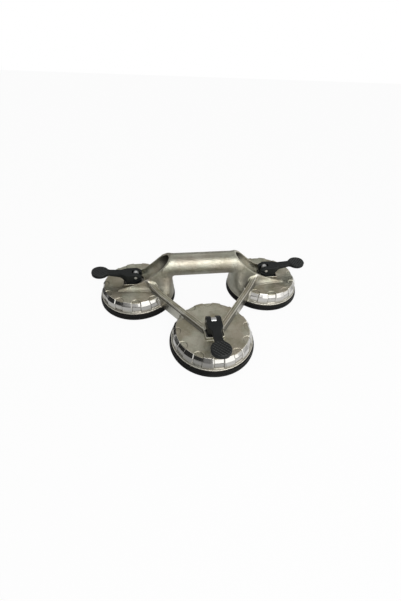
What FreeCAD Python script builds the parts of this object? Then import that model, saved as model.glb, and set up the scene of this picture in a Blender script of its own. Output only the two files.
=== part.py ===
import FreeCAD, Part
import math
import os
import Sketcher
from FreeCAD import Placement, Rotation, Vector

# Triple suction lifter for floor tiles.
# Millimetres, +Z up.  The origin is on the floor under the middle of the bounding box: the handle lies
# along X behind it (+Y), and the single front cup stands before it (-Y).
# Every cup is drawn in a frame of its own: its axis is Z, the floor is z = 0 and its lever points to +X.

doc = FreeCAD.newDocument("SuctionLifter")
sheet = doc.addObject("Spreadsheet::Sheet", "Sizes")

SIZES = {
    # layout of the three cups
    "cup_spread": 105.0,          # handle middle to a rear cup's axis
    "cup_depth": 111.0,           # rear cup line to the front cup's axis
    # rubber pad
    "pad_radius": 60.0,
    "pad_top_radius": 58.6,
    "pad_height": 8.3,            # floor to the casting's seat
    "pad_lip": 7.0,               # width of the flat sealing lip
    "pad_dish": 3.5,              # how far the locked pad is drawn up at its centre
    "dish_middle": 26.0,          # radius of the dish's flat middle
    "pad_edge": 0.6,
    "pad_crease": 0.7,            # half the height of the crease round the pad's side
    # cup casting
    "flange_radius": 57.3,
    "flange_height": 2.7,
    "wall_foot_radius": 56.0,
    "wall_top_radius": 54.6,
    "wall_top": 21.6,
    "face_radius": 51.4,
    "face_height": 27.0,          # floor to the cup's top face
    "cup_wall": 4.2,
    "cup_roof": 4.5,
    "hub_radius": 10.0,
    "hub_drop": 5.5,
    # arch recesses round the cup's edge
    "recess_count": 12.0,
    "recess_hidden": 3.0,         # places under a rear cup's saddle
    "recess_radius": 6.7,
    "recess_centre": 50.2,
    "recess_depth": 1.2,
    "recess_foot": 12.4,
    # fence round the lever's foot, and the wear plate in it
    "fence_half": 13.3,
    "fence_wall": 2.1,
    "fence_end": 20.6,
    "fence_height": 5.0,
    "plate_gap": 0.1,
    "wear_thick": 2.0,
    "wear_hole_gap": 0.4,
    # pull rod, pad plate and spring
    "rod_radius": 5.8,
    "running_gap": 0.05,
    "rod_foot_gap": 0.3,
    "tongue_thick": 6.8,
    "tongue_width": 9.2,
    "disc_radius": 40.0,
    "disc_thick": 2.5,
    "boss_radius": 10.0,
    "boss_height": 4.0,
    "spring_radius": 13.2,        # inside of the coil
    "wire_width": 1.8,
    "wire_height": 1.1,
    "spring_turns": 3.0,
    "spring_runs": 20,            # straight runs in each turn
    "spring_gap": 0.3,
    # lever and its pin
    "pin_height": 41.8,
    "pin_radius": 2.2,
    "pin_proud": 0.3,
    "lift_angle": 95.0,
    "cam_gap": 0.3,
    "foot_end": 15.0,
    "foot_rise": 4.0,
    "fork_half": 10.2,
    "fork_turn_gap": 0.5,         # between the fork's round back and the fence
    "slot_gap": 0.2,
    "slot_end": 5.6,
    "fork_end": 14.5,
    "fork_top": 5.4,
    "fork_round": 4.4,
    "neck_start": 23.5,
    "neck_half": 6.0,
    "neck_thick": 4.8,
    "neck_foot": 7.0,
    "paddle_reach": 53.0,
    "paddle_radius": 13.0,
    "paddle_thick": 6.3,
    "lever_tilt": 5.5,
    # handle tube
    "grip_height": 57.0,
    "grip_radius": 17.45,
    "grip_wall": 3.1,
    # saddles between the tube and the rear cups
    "saddle_start": 47.3,
    "saddle_rise": 2.7,           # from its start to the trough's rims
    "start_share": 0.35,          # half widths there, as shares of the tube's radius
    "rise_share": 0.72,
    "start_flare_share": 0.17,
    "saddle_edge": 1.1,           # the skirt's foot stands this far outside the cup's wall
    "grip_end": 55.0,             # where the tube's own surface gives way to the saddle's
    "saddle_sunk": 0.15,          # how far the saddle's top stays inside the tube's surface
    "skirt_near": 60.0,
    "skirt_far": 66.0,
    "flare_near": 80.0,
    "flare_near_width": 18.7,
    "flare_far": 100.0,
    "flare_far_width": 8.4,
    "flare_end": 131.0,
    "flare_end_width": 2.2,
    "rim_start": 50.6,
    "rim_end": 128.5,
    "rim_radius": 185.0,
    # trough that the lever's foot stands in
    "trough_start": 68.0,
    "trough_mid": 80.0,
    "trough_mid_floor": 39.0,
    "trough_low": 92.0,
    "trough_low_floor": 32.5,
    "trough_foot": 107.0,
    "trough_half": 16.2,
    "trough_corner": 4.0,
    "start_round_share": 0.97,    # its corners before that, as shares of the tube's bore
    "mid_round_share": 0.75,
    "low_round_share": 0.5,
    # arms
    "arm_rear_in": 21.7,          # rear end of the centre line, from the rear cup's axis towards the middle
    "arm_rear_fore": 18.0,        # and towards the front
    "arm_front_out": 12.6,        # front end, from the front cup's axis outwards
    "arm_front_fore": 0.7,        # and towards the front
    "arm_width": 7.5,
    "arm_top": 32.0,
    "arm_foot": 8.8,
    "arm_web": 5.0,
    "arm_bead": 2.4,
    "arm_groove": 1.0,
    "arm_groove_height": 1.4,
    # how far a cutting shape runs past what it cuts
    "cut_past": 4.0,
}

for row, (alias, number) in enumerate(SIZES.items(), start=1):
    sheet.set("A%d" % row, alias)
    sheet.set("B%d" % row, str(number))
    sheet.setAlias("B%d" % row, alias)
doc.recompute()


class Size:
    """A length, angle or ratio worked out from the sheet: the text of its expression and its number."""

    def __init__(self, text, number):
        self.text = text
        self.number = number

    def __add__(self, other):
        other = as_size(other)
        return Size("(%s + %s)" % (self.text, other.text), self.number + other.number)

    def __sub__(self, other):
        other = as_size(other)
        return Size("(%s - %s)" % (self.text, other.text), self.number - other.number)

    def __mul__(self, other):
        other = as_size(other)
        return Size("(%s * %s)" % (self.text, other.text), self.number * other.number)

    def __truediv__(self, other):
        other = as_size(other)
        return Size("(%s / %s)" % (self.text, other.text), self.number / other.number)

    def __radd__(self, other):
        return as_size(other) + self

    def __rsub__(self, other):
        return as_size(other) - self

    def __rmul__(self, other):
        return as_size(other) * self

    def __rtruediv__(self, other):
        return as_size(other) / self

    def __neg__(self):
        return Size("(-1 * %s)" % self.text, -self.number)


def as_size(value):
    """A plain number taken as a Size."""
    if isinstance(value, Size):
        return value
    return Size("(%.9g)" % value, float(value))


def sine(angle):
    """Sine of an angle in degrees."""
    return Size("sin(%s * 1 deg)" % angle.text, math.sin(math.radians(angle.number)))


def cosine(angle):
    """Cosine of an angle in degrees."""
    return Size("cos(%s * 1 deg)" % angle.text, math.cos(math.radians(angle.number)))


def root(value):
    """Square root, never of less than nothing."""
    return Size("sqrt(max(%s; 0))" % value.text, math.sqrt(max(value.number, 0.0)))


def bearing(x, y):
    """Direction of the point x, y from the X axis, in degrees."""
    x, y = as_size(x), as_size(y)
    return Size("atan2(%s; %s)" % (y.text, x.text), math.degrees(math.atan2(y.number, x.number)))


class Sheet:
    """The spreadsheet's values as Sizes: s.pad_radius and so on."""

    def __getattr__(self, alias):
        return Size("Sizes.%s" % alias, SIZES[alias])


s = Sheet()


def bind(obj, **properties):
    """Set each property to a Size and bind it to the sheet; a double underscore stands for a dot."""
    for name, value in properties.items():
        obj.setExpression(name.replace("__", "."), as_size(value).text)


def put(obj, x=0, y=0, z=0, turn=0):
    """Place an object at x, y, z, turned about Z by an angle in degrees."""
    obj.Placement = Placement(Vector(0, 0, 0), Rotation(Vector(0, 0, 1), as_size(turn).number))
    bind(obj, Placement__Base__x=x, Placement__Base__y=y, Placement__Base__z=z,
         Placement__Rotation__Angle=turn)
    return obj


def arc_centre(start, end, radius, left):
    """Centre of the arc from start to end that is less than half a circle; left: its centre is on the left."""
    chord = end - start
    rise = math.sqrt(max(radius ** 2 - (chord.Length / 2) ** 2, 0.0))
    side = Vector(-chord.y, chord.x, 0).normalize() * (rise if left else -rise)
    return (start + end) / 2 + side


def draw(sketch, corners):
    """Draw a closed outline.  A corner is (x, y) before a straight edge, and (x, y, radius, 'left' or
    'right') before an arc whose centre lies on that side."""
    count = len(corners)
    points = [Vector(as_size(c[0]).number, as_size(c[1]).number, 0) for c in corners]
    ends = []
    for i, corner in enumerate(corners):
        start, end = points[i], points[(i + 1) % count]
        if len(corner) == 2:
            edge = sketch.addGeometry(Part.LineSegment(start, end))
            ends.append((edge, 1, 2))
            continue
        radius, left = as_size(corner[2]), corner[3] == "left"
        centre = arc_centre(start, end, radius.number, left)
        first, last = (start, end) if left else (end, start)
        angles = [math.atan2(p.y - centre.y, p.x - centre.x) for p in (first, last)]
        circle = Part.Circle(centre, Vector(0, 0, 1), radius.number)
        edge = sketch.addGeometry(Part.ArcOfCircle(circle, angles[0], angles[1]))
        ends.append((edge, 1, 2) if left else (edge, 2, 1))
        number = sketch.addConstraint(Sketcher.Constraint("Radius", edge, radius.number))
        sketch.setExpression("Constraints[%d]" % number, radius.text)
    for i, corner in enumerate(corners):
        edge, first, last = ends[i]
        after, after_first, _ = ends[(i + 1) % count]
        sketch.addConstraint(Sketcher.Constraint("Coincident", edge, last, after, after_first))
        for kind, value in (("DistanceX", corner[0]), ("DistanceY", corner[1])):
            value = as_size(value)
            rule = Sketcher.Constraint(kind, -1, 1, edge, first, value.number)
            number = sketch.addConstraint(rule)
            sketch.setExpression("Constraints[%d]" % number, value.text)


def ring(sketch, x, y, radius):
    """Draw a full circle."""
    x, y, radius = as_size(x), as_size(y), as_size(radius)
    edge = sketch.addGeometry(Part.Circle(Vector(x.number, y.number, 0), Vector(0, 0, 1), radius.number))
    for rule, value in ((("Radius", edge), radius), (("DistanceX", -1, 1, edge, 3), x),
                        (("DistanceY", -1, 1, edge, 3), y)):
        number = sketch.addConstraint(Sketcher.Constraint(*rule, value.number))
        sketch.setExpression("Constraints[%d]" % number, value.text)


def new_body(name):
    """An empty PartDesign body with its label."""
    body = doc.addObject("PartDesign::Body", name)
    body.Label = name
    return body


def sketch_in(body, plane, name, lift=0):
    """A sketch on one of the body's own origin planes, lifted along the plane's normal."""
    sketch = body.newObject("Sketcher::SketchObject", name)
    origin_plane = [f for f in body.Origin.OriginFeatures if f.Role == plane][0]
    sketch.AttachmentSupport = [(origin_plane, "")]
    sketch.MapMode = "FlatFace"
    sketch.AttachmentOffset = Placement(Vector(0, 0, as_size(lift).number), Rotation())
    bind(sketch, AttachmentOffset__Base__z=lift)
    return sketch


def revolved(body, name, corners):
    """Revolve an outline of (radius, height) corners about the body's Z axis."""
    sketch = sketch_in(body, "XZ_Plane", name + "_profile")
    draw(sketch, corners)
    turned = body.newObject("PartDesign::Revolution", name)
    turned.Profile = sketch
    turned.ReferenceAxis = (sketch, ["V_Axis"])
    turned.Angle = 360.0
    return turned


def padded(body, name, sketch, length, middle=False):
    """Pad a sketch along its normal, or evenly to both sides."""
    pad = body.newObject("PartDesign::Pad", name)
    pad.Profile = sketch
    pad.SideType = "Symmetric" if middle else "One side"
    pad.Length = as_size(length).number
    bind(pad, Length=length)
    return pad


def pocketed(body, name, sketch):
    """Cut a sketch through the whole body, both ways."""
    pocket = body.newObject("PartDesign::Pocket", name)
    pocket.Profile = sketch
    pocket.SideType = "Symmetric"
    pocket.Type = "ThroughAll"
    return pocket


def boolean(kind, name, *shapes):
    """A Part boolean of two or more objects."""
    result = doc.addObject("Part::" + kind, name)
    if kind in ("MultiFuse", "MultiCommon"):
        result.Shapes = list(shapes)
    else:
        result.Base, result.Tool = shapes
    result.Label = name
    return result


# Heights that several pieces share.
seat = s.pad_height
roof_under = s.face_height - s.cup_roof
fence_top = s.face_height + s.fence_height
wear_top = s.face_height + s.wear_thick
disc_top = seat + s.disc_thick
bore_radius = s.rod_radius + s.running_gap
cam_lock = s.pin_height - wear_top - s.cam_gap          # pin to the foot's flat, which stands on the plate
cam_slope = s.pad_dish / (s.lift_angle * math.pi / 180)  # how much the cam shrinks per radian of lift
rod_shoulder = wear_top - s.cam_gap

# The bounding box runs from the rear pads to the front lever's tip, and its middle is the origin.
rear_line = (s.cup_depth + s.paddle_reach + s.paddle_radius - s.pad_radius) / 2
front_line = rear_line - s.cup_depth

# The three cups: side, middle's x and y, and the direction its lever points in.
CUPS = {
    "left": (-s.cup_spread, rear_line, 180),
    "right": (s.cup_spread, rear_line, 0),
    "front": (0, front_line, -90),
}


def at_cup(obj, side):
    """Move an object drawn in a cup's own frame to that cup."""
    x, y, turn = CUPS[side]
    return put(obj, x, y, 0, turn)


def foot_outline(inset):
    """The fence's D-shaped outline, inset by a distance: round towards the handle, square outwards."""
    half, end = s.fence_half - inset, s.fence_end - inset
    return [(0, half, half, "left"), (-half, 0, half, "left"), (0, -half), (end, -half), (end, half)]


def cup_profile():
    """The casting's outer profile, from the floor side up to its top face."""
    return [(s.flange_radius, seat), (s.flange_radius, seat + s.flange_height),
            (s.wall_foot_radius, seat + s.flange_height), (s.wall_top_radius, s.wall_top),
            (s.face_radius, s.face_height)]


def cup_casting(side):
    """A die-cast bell with a guide hub for the rod, a fence on top and arch recesses round its edge."""
    blank = new_body(side + "_cup_blank")
    cavity = s.wall_foot_radius - s.cup_wall
    revolved(blank, side + "_bell", cup_profile() + [
        (bore_radius, s.face_height), (bore_radius, roof_under - s.hub_drop),
        (s.hub_radius, roof_under - s.hub_drop), (s.hub_radius, roof_under),
        (cavity, roof_under), (cavity, seat)])
    fence = sketch_in(blank, "XY_Plane", side + "_fence_outline", s.face_height)
    draw(fence, foot_outline(0))
    draw(fence, foot_outline(s.fence_wall))
    padded(blank, side + "_fence", fence, s.fence_height)

    star = new_body(side + "_recess_star")
    core = sketch_in(star, "XY_Plane", side + "_star_core", s.recess_foot + s.cut_past / 4)
    ring(core, 0, 0, s.recess_centre - s.recess_radius / 2)
    padded(star, side + "_star_disc", core, s.cut_past)
    arch = sketch_in(star, "XY_Plane", side + "_arch", s.recess_foot)
    inner, outer = s.recess_centre, s.flange_radius + s.cut_past
    draw(arch, [(inner, s.recess_radius, s.recess_radius, "left"),
                (inner - s.recess_radius, 0, s.recess_radius, "left"),
                (inner, -s.recess_radius), (outer, -s.recess_radius), (outer, s.recess_radius)])
    point = padded(star, side + "_star_point", arch, s.face_height - s.recess_foot + s.cut_past)
    doc.recompute()
    step = 360 / s.recess_count
    hidden = as_size(0) if side == "front" else s.recess_hidden
    pattern = star.newObject("PartDesign::PolarPattern", side + "_star_points")
    pattern.Originals = [point]
    pattern.Axis = (arch, ["N_Axis"])
    star.Tip = pattern
    shown = s.recess_count - hidden
    bind(pattern, Angle=step * (shown - 1), Occurrences=shown)
    put(star, turn=-step * (s.recess_count - s.recess_hidden - 1) / 2)

    core_solid = new_body(side + "_recess_floor")
    deep = s.recess_depth
    revolved(core_solid, side + "_floor_form", [
        (0, seat), (s.wall_foot_radius - deep, seat), (s.wall_top_radius - deep, s.wall_top),
        (s.face_radius - deep / 2, s.face_height - deep), (0, s.face_height - deep)])
    recesses = boolean("Cut", side + "_recesses", star, core_solid)
    return at_cup(boolean("Cut", side + "_cup_casting", blank, recesses), side)


def rubber_pad(side):
    """A moulded rubber disc with a flat sealing lip, drawn up into a shallow dish while it is locked."""
    body = new_body(side + "_rubber_pad")
    middle = s.pad_height / 2
    revolved(body, side + "_pad_form", [
        (0, s.pad_dish), (s.dish_middle, s.pad_dish), (s.pad_radius - s.pad_lip, 0),
        (s.pad_radius - s.pad_edge, 0), (s.pad_radius, s.pad_edge), (s.pad_radius, middle - s.pad_crease),
        (s.pad_top_radius, middle), (s.pad_top_radius + s.pad_crease, middle + s.pad_crease),
        (s.pad_top_radius, seat), (0, seat)])
    return at_cup(body, side)


def pad_plate(side):
    """A steel disc on the rubber, with a boss that the pull rod screws into."""
    body = new_body(side + "_pad_plate")
    revolved(body, side + "_disc_form", [
        (bore_radius, seat), (s.disc_radius, seat), (s.disc_radius, disc_top), (s.boss_radius, disc_top),
        (s.boss_radius, disc_top + s.boss_height), (bore_radius, disc_top + s.boss_height)])
    return at_cup(body, side)


def pull_rod(side):
    """A round rod whose flat top tongue takes the lever's pin."""
    body = new_body(side + "_pull_rod")
    revolved(body, side + "_stem", [
        (0, seat + s.rod_foot_gap), (s.rod_radius, seat + s.rod_foot_gap), (s.rod_radius, rod_shoulder),
        (0, rod_shoulder)])
    half = s.tongue_width / 2
    tongue = sketch_in(body, "XZ_Plane", side + "_tongue_outline")
    draw(tongue, [(-half, rod_shoulder - 1), (half, rod_shoulder - 1), (half, s.pin_height, half, "left"),
                  (0, s.pin_height + half, half, "left"), (-half, s.pin_height)])
    padded(body, side + "_tongue", tongue, s.tongue_thick, middle=True)
    eye = sketch_in(body, "XZ_Plane", side + "_eye")
    ring(eye, 0, s.pin_height, s.pin_radius + s.running_gap)
    pocketed(body, side + "_eye_hole", eye)
    return at_cup(body, side)


def lever_pin(side):
    """A steel pin through the fork's ears and the rod's tongue."""
    body = new_body(side + "_lever_pin")
    end = sketch_in(body, "XZ_Plane", side + "_pin_end")
    ring(end, 0, s.pin_height, s.pin_radius)
    padded(body, side + "_pin_shank", end, 2 * (s.fork_half + s.pin_proud), middle=True)
    return at_cup(body, side)


def wear_plate(side):
    """A steel plate inside the fence, which the lever's foot stands and rolls on."""
    body = new_body(side + "_wear_plate")
    outline = sketch_in(body, "XY_Plane", side + "_wear_outline", s.face_height)
    draw(outline, foot_outline(s.fence_wall + s.plate_gap))
    ring(outline, 0, 0, s.rod_radius + s.wear_hole_gap)
    padded(body, side + "_wear_pad", outline, s.wear_thick)
    return at_cup(body, side)


def cam_point(share):
    """A point of the lever's cam: an involute, whose height under the pin falls evenly with the lift."""
    angle = s.lift_angle * share
    height = cam_lock - s.pad_dish * share
    return (cam_slope * cosine(angle) - height * sine(angle),
            s.pin_height - height * cosine(angle) - cam_slope * sine(angle))


def lever(side):
    """A moulded lever: forked foot with a cam, a neck and a round paddle."""
    body = new_body(side + "_lever")
    slope = sine(s.lever_tilt) / cosine(s.lever_tilt)
    top = s.pin_height + s.fork_top
    tip = s.paddle_reach + s.paddle_radius
    join = s.paddle_reach - root(s.paddle_radius * s.paddle_radius - s.neck_half * s.neck_half)
    tip_top = top + slope * (tip - s.fork_end)
    join_top = top + slope * (join - s.fork_end)
    start, middle, end = cam_point(0), cam_point(0.5), cam_point(1)
    foot = s.pin_height - cam_lock
    side_view = sketch_in(body, "XZ_Plane", side + "_side_view")
    draw(side_view, [
        start, (s.foot_end, foot), (s.foot_end + 1, foot + s.foot_rise, s.neck_start / 2, "right"),
        (s.neck_start, top + slope * (s.neck_start - s.fork_end) - s.neck_foot),
        (join, join_top - s.neck_thick), (join + 2, join_top + 2 * slope - s.paddle_thick),
        (tip, tip_top - s.paddle_thick), (tip, tip_top), (s.fork_end, top),
        (end[0] + s.cam_gap + s.fork_round, top, s.fork_round, "left"),
        (end[0] + s.cam_gap, top - s.fork_round),
        (end[0], end[1], cam_lock - s.pad_dish * 0.75, "left"),
        (middle[0], middle[1], cam_lock - s.pad_dish * 0.25, "left")])
    padded(body, side + "_side_pad", side_view, 2 * s.paddle_radius + 2, middle=True)

    plan = sketch_in(body, "XY_Plane", side + "_plan_view")
    far = s.paddle_radius + s.cut_past
    back = s.fence_half - s.fence_wall - s.fork_turn_gap
    back_side = -root(back * back - s.fork_half * s.fork_half)
    past = tip + s.cut_past
    draw(plan, [(-far, -far), (past, -far), (past, far), (-far, far)])
    draw(plan, [
        (back_side, -s.fork_half), (s.fork_end, -s.fork_half), (s.neck_start, -s.neck_half),
        (join, -s.neck_half, s.paddle_radius, "left"), (tip, 0, s.paddle_radius, "left"),
        (join, s.neck_half), (s.neck_start, s.neck_half), (s.fork_end, s.fork_half),
        (back_side, s.fork_half, back, "left"), (-back, 0, back, "left")])
    pocketed(body, side + "_plan_cut", plan)

    slot = sketch_in(body, "XY_Plane", side + "_slot_outline")
    half = s.tongue_thick / 2 + s.slot_gap
    draw(slot, [(-far, -half), (s.slot_end, -half), (s.slot_end, half), (-far, half)])
    pocketed(body, side + "_slot", slot)
    eyes = sketch_in(body, "XZ_Plane", side + "_ear_holes")
    ring(eyes, 0, s.pin_height, s.pin_radius + s.running_gap)
    pocketed(body, side + "_ear_bore", eyes)
    return at_cup(body, side)


def return_spring(side):
    """A flat-wire compression spring round the hub, wound in short straight runs between roof and pad plate."""
    foot = (disc_top + s.spring_gap).number
    rise = (roof_under - s.spring_gap - s.wire_height).number - foot
    runs = round(s.spring_turns.number * s.spring_runs.number)
    sections = []
    for run in range(runs + 1):
        turn = Rotation(Vector(0, 0, 1), 360 / s.spring_runs.number * run)
        low = foot + rise * run / runs
        corners = [(s.spring_radius, low), (s.spring_radius + s.wire_width, low),
                   (s.spring_radius + s.wire_width, low + s.wire_height.number),
                   (s.spring_radius, low + s.wire_height.number)]
        points = [turn.multVec(Vector(as_size(x).number, 0, z)) for x, z in corners]
        sections.append(Part.makePolygon(points + points[:1]))
    coil = doc.addObject("Part::Feature", side + "_return_spring")
    coil.Label = side + "_return_spring"
    coil.Shape = Part.makeLoft(sections, True, True)
    return at_cup(coil, side)


# Sketches across the handle: their X is the model's Y, their Y is the model's Z.
ACROSS = Rotation(Vector(1, 1, 1), 120)


def station(name, x, corners):
    """A closed outline across the handle at a distance x from its middle."""
    sketch = doc.addObject("Sketcher::SketchObject", name)
    sketch.Placement = Placement(Vector(0, 0, 0), ACROSS)
    bind(sketch, Placement__Base__x=x, Placement__Base__y=rear_line)
    draw(sketch, corners)
    return sketch


def loft(name, sections):
    """A solid through closed outlines, straight from each to the next."""
    result = doc.addObject("Part::Loft", name)
    result.Sections = sections
    result.Solid = True
    result.Ruled = True
    return result


def extruded(name, corners, half):
    """An outline in the XZ plane, extruded by half to both sides."""
    body = new_body(name)
    sketch = sketch_in(body, "XZ_Plane", name + "_outline")
    draw(sketch, corners)
    padded(body, name + "_pad", sketch, 2 * half, middle=True)
    return body


def saddle_outline(half, flare):
    """Across the saddle: round over the top as the tube is, with flanks that flare out to the foot."""
    foot = seat + s.flange_height
    drop = s.grip_height - foot
    flank = (drop * drop + flare * flare) / (2 * flare)
    wide = half + flare
    return [(-wide, foot), (wide, foot, flank, "right"), (half, s.grip_height, half, "left"),
            (0, s.grip_height + half, half, "left"), (-half, s.grip_height, flank, "right")]


def trough_outline(half, corner, floor):
    """Across the trough: a floor with round corners and upright walls, open to the top."""
    high = s.grip_height + 2 * s.grip_radius
    return [(corner - half, floor), (half - corner, floor, corner, "left"), (half, floor + corner),
            (half, high), (-half, high), (-half, floor + corner, corner, "left")]


def cup_envelope(name, side):
    """The outside of a cup and its fence, filled: what is cut from the pieces that meet the cup."""
    bell = new_body(name + "_bell")
    revolved(bell, name + "_form", [(0, seat)] + cup_profile() + [(0, s.face_height)])
    fence = new_body(name + "_fence")
    outline = sketch_in(fence, "XY_Plane", name + "_outline", s.face_height - 1)
    draw(outline, foot_outline(0))
    padded(fence, name + "_block", outline, s.grip_height)
    return at_cup(boolean("Fuse", name, bell, fence), side)


def saddle(name):
    """One end of the handle, drawn at +X: a skirt over the rear cup's inner side that opens upwards
    into a trough, whose rims fall from the top of the tube to the cup's face."""
    half = s.grip_radius - s.saddle_sunk
    skirt = s.wall_foot_radius + s.saddle_edge

    def chord(x):
        return root(skirt * skirt - (s.cup_spread - x) * (s.cup_spread - x))

    narrow = s.grip_radius * s.start_share
    wider = s.grip_radius * s.rise_share
    slight = s.grip_radius * s.start_flare_share
    outer = [
        station(name + "_at_start", s.saddle_start, saddle_outline(narrow, slight)),
        station(name + "_at_rim", s.saddle_start + s.saddle_rise, saddle_outline(wider, slight)),
        station(name + "_at_grip", s.grip_end, saddle_outline(half, chord(s.grip_end) - half)),
        station(name + "_at_near", s.skirt_near, saddle_outline(half, chord(s.skirt_near) - half)),
        station(name + "_at_far", s.skirt_far, saddle_outline(half, chord(s.skirt_far) - half)),
        station(name + "_at_flare", s.flare_near, saddle_outline(half, s.flare_near_width)),
        station(name + "_at_outer", s.flare_far, saddle_outline(half, s.flare_far_width)),
        station(name + "_at_end", s.flare_end, saddle_outline(half, s.flare_end_width)),
    ]
    bore = s.grip_radius - s.grip_wall
    blend = bore * 2 / 3 + s.trough_half / 3
    nearly = bore / 3 + s.trough_half * 2 / 3
    inner = [
        station(name + "_trough_start", s.trough_start, trough_outline(bore, bore * s.start_round_share, s.grip_height - bore)),
        station(name + "_trough_mid", s.trough_mid, trough_outline(blend, bore * s.mid_round_share, s.trough_mid_floor)),
        station(name + "_trough_low", s.trough_low, trough_outline(nearly, bore * s.low_round_share, s.trough_low_floor)),
        station(name + "_trough_foot", s.trough_foot,
                trough_outline(s.trough_half, s.trough_corner, s.face_height - 1)),
        station(name + "_trough_end", s.flare_end + s.cut_past,
                trough_outline(s.trough_half, s.trough_corner, s.face_height - 1)),
    ]
    crest = s.grip_height + s.grip_radius
    above = put(extruded(name + "_above_rim", [
        (s.rim_start, crest, s.rim_radius, "left"), (s.rim_end, s.face_height),
        (s.flare_end + s.cut_past, s.face_height), (s.flare_end + s.cut_past, 2 * crest), (s.rim_start, 2 * crest)],
        s.pad_radius), 0, rear_line)
    waste = boolean("MultiFuse", name + "_waste", above, loft(name + "_trough", inner),
                    cup_envelope(name + "_cup_form", "right"))
    return boolean("Cut", name, loft(name + "_form", outer), waste)


def handle_casting():
    """The tube and its two saddles, cast in one with the frame and meeting the rear cups face to face."""
    along = Rotation(Vector(0, 1, 0), 90)
    bars = []
    for name, radius, end in (("grip_tube", s.grip_radius, s.grip_end),
                              ("grip_bore", s.grip_radius - s.grip_wall, s.trough_start + 1)):
        bar = doc.addObject("Part::Cylinder", name)
        bar.Placement = Placement(Vector(0, 0, 0), along)
        bind(bar, Radius=radius, Height=2 * end, Placement__Base__x=-end, Placement__Base__y=rear_line,
             Placement__Base__z=s.grip_height)
        bars.append(bar)
    right = saddle("right_saddle")
    left = doc.addObject("Part::Mirroring", "left_saddle")
    left.Source = right
    left.Normal = Vector(1, 0, 0)
    whole = boolean("MultiFuse", "handle_form", bars[0], left, right)
    return boolean("Cut", "handle_casting", whole, bars[1])


def arm(side, handle):
    """A cast rib from a rear cup's saddle to the front cup's fence: a deep web under a wider bead, with
    a groove along its outer face below the bead."""
    out = 1 if side == "right" else -1
    rear_x, rear_y = out * (s.cup_spread - s.arm_rear_in), rear_line - s.arm_rear_fore
    front_x, front_y = out * s.arm_front_out, front_line - s.arm_front_fore
    run_x, run_y = front_x - rear_x, front_y - rear_y
    half = s.arm_width / 2
    under = s.arm_top - s.arm_bead
    groove = half - s.arm_groove
    corners = [
        (half - s.arm_web, s.arm_foot), (half, s.arm_foot), (half, under - s.arm_groove_height),
        (groove, under - s.arm_groove_height), (groove, under), (half, under), (half, s.arm_top),
        (-half, s.arm_top), (-half, under), (half - s.arm_web, under)]
    rib = new_body(side + "_arm_rib")
    section = sketch_in(rib, "YZ_Plane", side + "_arm_section")
    draw(section, [(y * out, z) for y, z in corners])
    padded(rib, side + "_arm_length", section, root(run_x * run_x + run_y * run_y))
    put(rib, rear_x, rear_y, 0, bearing(run_x, run_y))
    met = boolean("MultiFuse", side + "_arm_ends", handle, cup_envelope(side + "_arm_rear_form", side),
                  cup_envelope(side + "_arm_front_form", "front"))
    return boolean("Cut", side + "_arm", rib, met)


PIECES = [handle_casting()]
PIECES += [arm("left", PIECES[0]), arm("right", PIECES[0])]
for cup in CUPS:
    for make in (cup_casting, rubber_pad, pad_plate, pull_rod, return_spring, wear_plate, lever_pin, lever):
        PIECES.append(make(cup))

doc.recompute()

broken = [(o.Name, o.getStatusString()) for o in doc.Objects if "Invalid" in o.State or "Error" in o.State]
assert not broken, "failed objects: %s" % broken
os.makedirs("parts", exist_ok=True)
for piece in PIECES:
    shape = piece.Shape
    assert not shape.isNull() and shape.isValid(), "bad shape: %s" % piece.Label
    shape.exportStep(os.path.join("parts", piece.Label + ".step"))
    print("%-22s %9.1f mm3  solids %d" % (piece.Label, shape.Volume, len(shape.Solids)))
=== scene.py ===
import math

import bpy
import numpy as np
from mathutils import Matrix, Vector


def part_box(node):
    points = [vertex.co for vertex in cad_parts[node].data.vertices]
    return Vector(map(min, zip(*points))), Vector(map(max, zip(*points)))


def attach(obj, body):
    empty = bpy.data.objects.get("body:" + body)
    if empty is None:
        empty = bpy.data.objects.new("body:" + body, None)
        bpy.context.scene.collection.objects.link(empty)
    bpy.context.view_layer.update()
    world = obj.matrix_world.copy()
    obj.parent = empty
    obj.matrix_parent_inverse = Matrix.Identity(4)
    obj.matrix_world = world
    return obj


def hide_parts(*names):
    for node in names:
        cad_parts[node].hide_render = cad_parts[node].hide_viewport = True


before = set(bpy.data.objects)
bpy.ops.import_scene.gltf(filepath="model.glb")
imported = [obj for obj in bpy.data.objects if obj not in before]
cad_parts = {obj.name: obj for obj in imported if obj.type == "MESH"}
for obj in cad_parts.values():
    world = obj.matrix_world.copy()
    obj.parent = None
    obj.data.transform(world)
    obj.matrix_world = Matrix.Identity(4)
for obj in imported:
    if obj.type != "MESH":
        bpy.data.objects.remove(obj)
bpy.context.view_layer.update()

# ---------------------------------------------------------------------------------------------------
# Viewpoint.  A wide lens close above the front cup, turned a little to the left and tilted by a few
# degrees, looks down on the lifter as it stands on the table.
# ---------------------------------------------------------------------------------------------------
FOCAL_LENGTH = 16.73                      # millimetres, on a 36 mm tall picture
VIEW_AZIMUTH, VIEW_ELEVATION, VIEW_ROLL = math.radians(-9.69), math.radians(42.79), math.radians(2.9)
VIEW_PLACE = Vector((-0.0614, -0.3012, 0.3137))

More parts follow.
